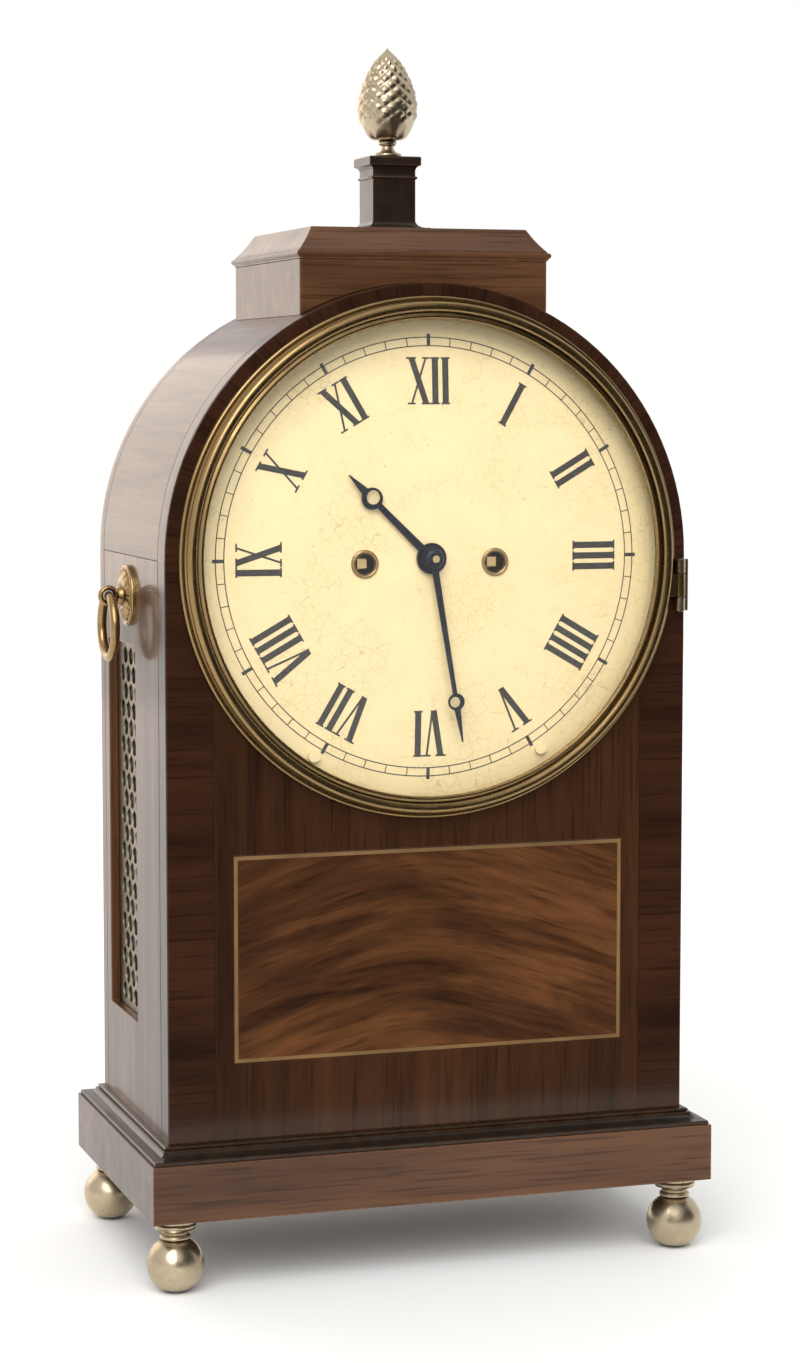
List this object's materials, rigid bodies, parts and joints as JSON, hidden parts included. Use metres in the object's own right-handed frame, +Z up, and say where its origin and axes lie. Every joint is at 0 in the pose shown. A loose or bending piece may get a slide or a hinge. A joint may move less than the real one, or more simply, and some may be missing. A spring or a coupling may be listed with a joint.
{
  "type": "arched bracket clock",
  "caption": "Arched mahogany bracket clock: round painted dial behind a hinged glazed bezel, side frets and ring handles, fusee movement, pendulum and bell, on ball feet.",
  "frame": {"origin": "centre of the clock's footprint, on the surface that the four ball feet stand on", "axes": "+X to the right as the dial is read, -Y out of the dial towards the viewer, +Z up"},
  "size_m": [0.255, 0.145, 0.5165],
  "materials": {
    "mahogany": "french polished mahogany",
    "figured_mahogany": "french polished flame mahogany veneer",
    "dark_moulding": "ebonised wood, polished",
    "boxwood_line": "boxwood stringing",
    "polished_brass": "aged lacquered brass",
    "fret_brass": "tarnished pierced brass",
    "movement_brass": "satin brass",
    "movement_steel": "bright filed steel",
    "bell_metal": "cast bell metal",
    "blued_steel": "blued steel",
    "painted_dial": "cream painted iron",
    "glass": "clear glass",
    "silk": "dark silk",
    "gut": "gut line"
  },
  "bodies": {
    "case": {"plinth": "mahogany", "bottom_board": "mahogany", "side_left": "mahogany", "side_right": "mahogany", "arch_roof": "mahogany", "case_front": "mahogany", "case_back": "mahogany", "pad_block": "mahogany", "pad_top": "mahogany", "seat_board": "mahogany", "front_panel": "figured_mahogany", "base_moulding": "dark_moulding", "pedestal": "dark_moulding", "front_stringing": "boxwood_line", "ball_feet": "polished_brass", "finial": "polished_brass", "handle_boss_left": "polished_brass", "handle_boss_right": "polished_brass", "bezel_hinge": "polished_brass", "hinge_pins": "polished_brass", "back_hinges": "polished_brass", "fret_left": "fret_brass", "fret_right": "fret_brass", "front_plate": "movement_brass", "back_plate": "movement_brass", "plate_pillars": "movement_brass", "back_cock": "movement_brass", "bell_stand": "movement_steel", "seat_bolts": "movement_steel", "bell": "bell_metal", "dial": "painted_dial", "fret_silks": "silk", "gut_lines": "gut"},
    "bezel_door": {"bezel": "polished_brass", "dial_glass": "glass"},
    "back_door_body": {"back_door": "mahogany", "back_glass": "glass", "door_leaves": "polished_brass"},
    "latch": {"back_latch": "polished_brass"},
    "ring_left": {"handle_ring_left": "polished_brass"},
    "ring_right": {"handle_ring_right": "polished_brass"},
    "minute_arbor": {"centre_wheel": "movement_brass", "cannon_wheel": "movement_brass", "minute_hand": "blued_steel", "hand_collet": "polished_brass"},
    "motion_wheel": {"minute_wheel": "movement_brass"},
    "hour_pipe": {"hour_wheel": "movement_brass", "hour_hand": "blued_steel"},
    "third_arbor": {"third_wheel": "movement_brass"},
    "escape_arbor": {"escape_wheel": "movement_brass"},
    "going_fusee_body": {"going_fusee": "movement_brass"},
    "going_barrel_body": {"going_barrel": "movement_brass"},
    "pendulum": {"pendulum_rod": "movement_steel", "pendulum_bob": "movement_brass", "rating_nut": "movement_brass"},
    "anchor": {"pallets": "movement_steel"},
    "strike_fusee_body": {"strike_fusee": "movement_brass"},
    "strike_barrel_body": {"strike_barrel": "movement_brass"},
    "pin_arbor": {"pin_wheel": "movement_brass"},
    "hammer_body": {"hammer": "movement_steel"}
  },
  "joints": [
    {"name": "bezel_hinge_turn", "type": "hinge", "parent": "case", "child": "bezel_door", "pos_m": [0.111, -0.0625, 0.288], "axis": [0, 0, 1], "range_deg": [0, 110]},
    {"name": "back_door_turn", "type": "hinge", "parent": "case", "child": "back_door_body", "pos_m": [0.09, 0.0624, 0.195], "axis": [0, 0, -1], "range_deg": [0, 110]},
    {"name": "latch_turn", "type": "hinge", "parent": "back_door_body", "child": "latch", "pos_m": [-0.0805, 0.06, 0.25], "axis": [0, -1, 0], "range_deg": [0, 90]},
    {"name": "left_ring_swing", "type": "hinge", "parent": "case", "child": "ring_left", "pos_m": [-0.123, 0.004, 0.284], "axis": [0, 1, 0], "range_deg": [0, 95]},
    {"name": "right_ring_swing", "type": "hinge", "parent": "case", "child": "ring_right", "pos_m": [0.123, 0.004, 0.284], "axis": [0, -1, 0], "range_deg": [0, 95]},
    {"name": "minute_turn", "type": "hinge", "parent": "case", "child": "minute_arbor", "pos_m": [0, -0.04, 0.301], "axis": [0, 1, 0], "continuous": true},
    {"name": "motion_wheel_turn", "type": "hinge", "parent": "case", "child": "motion_wheel", "pos_m": [0, -0.041, 0.2815], "axis": [0, 1, 0], "continuous": true},
    {"name": "hour_turn", "type": "hinge", "parent": "case", "child": "hour_pipe", "pos_m": [0, -0.047, 0.301], "axis": [0, 1, 0], "continuous": true},
    {"name": "third_turn", "type": "hinge", "parent": "case", "child": "third_arbor", "pos_m": [0, -0.011, 0.32011], "axis": [0, 1, 0], "continuous": true},
    {"name": "escape_turn", "type": "hinge", "parent": "case", "child": "escape_arbor", "pos_m": [0, 0.001, 0.33626], "axis": [0, 1, 0], "continuous": true},
    {"name": "going_fusee_turn", "type": "hinge", "parent": "case", "child": "going_fusee_body", "pos_m": [0.0285, -0.011, 0.299], "axis": [0, 1, 0], "continuous": true},
    {"name": "going_barrel_turn", "type": "hinge", "parent": "case", "child": "going_barrel_body", "pos_m": [0.033, -0.011, 0.24302], "axis": [0, 1, 0], "continuous": true},
    {"name": "pendulum_swing", "type": "hinge", "parent": "case", "child": "pendulum", "pos_m": [0, 0.027, 0.35376], "axis": [0, 1, 0], "range_deg": [-3, 3]},
    {"name": "anchor_rock", "type": "hinge", "parent": "case", "child": "anchor", "pos_m": [0, 0.002, 0.35376], "axis": [0, 1, 0], "range_deg": [-3, 3]},
    {"name": "strike_fusee_turn", "type": "hinge", "parent": "case", "child": "strike_fusee_body", "pos_m": [-0.0285, -0.011, 0.299], "axis": [0, 1, 0], "continuous": true},
    {"name": "strike_barrel_turn", "type": "hinge", "parent": "case", "child": "strike_barrel_body", "pos_m": [-0.033, -0.011, 0.24302], "axis": [0, 1, 0], "continuous": true},
    {"name": "pin_wheel_turn", "type": "hinge", "parent": "case", "child": "pin_arbor", "pos_m": [-0.04114, -0.03, 0.32089], "axis": [0, 1, 0], "continuous": true},
    {"name": "hammer_swing", "type": "hinge", "parent": "case", "child": "hammer_body", "pos_m": [-0.05, -0.008, 0.33609], "axis": [0, 1, 0], "range_deg": [-10, 0], "stiffness_Nm_per_rad": 0.05}
  ],
  "couplings": [
    {"joint": "motion_wheel_turn", "follows": "minute_turn", "ratio": -0.33333},
    {"joint": "hour_turn", "follows": "minute_turn", "ratio": 0.083333},
    {"joint": "third_turn", "follows": "minute_turn", "ratio": -12},
    {"joint": "escape_turn", "follows": "minute_turn", "ratio": 133.71},
    {"joint": "going_fusee_turn", "follows": "minute_turn", "ratio": -0.083333},
    {"joint": "going_barrel_turn", "follows": "minute_turn", "ratio": -0.051667},
    {"joint": "anchor_rock", "follows": "pendulum_swing", "ratio": 1},
    {"joint": "strike_barrel_turn", "follows": "strike_fusee_turn", "ratio": 0.62},
    {"joint": "pin_wheel_turn", "follows": "strike_fusee_turn", "ratio": -10.5}
  ]
}
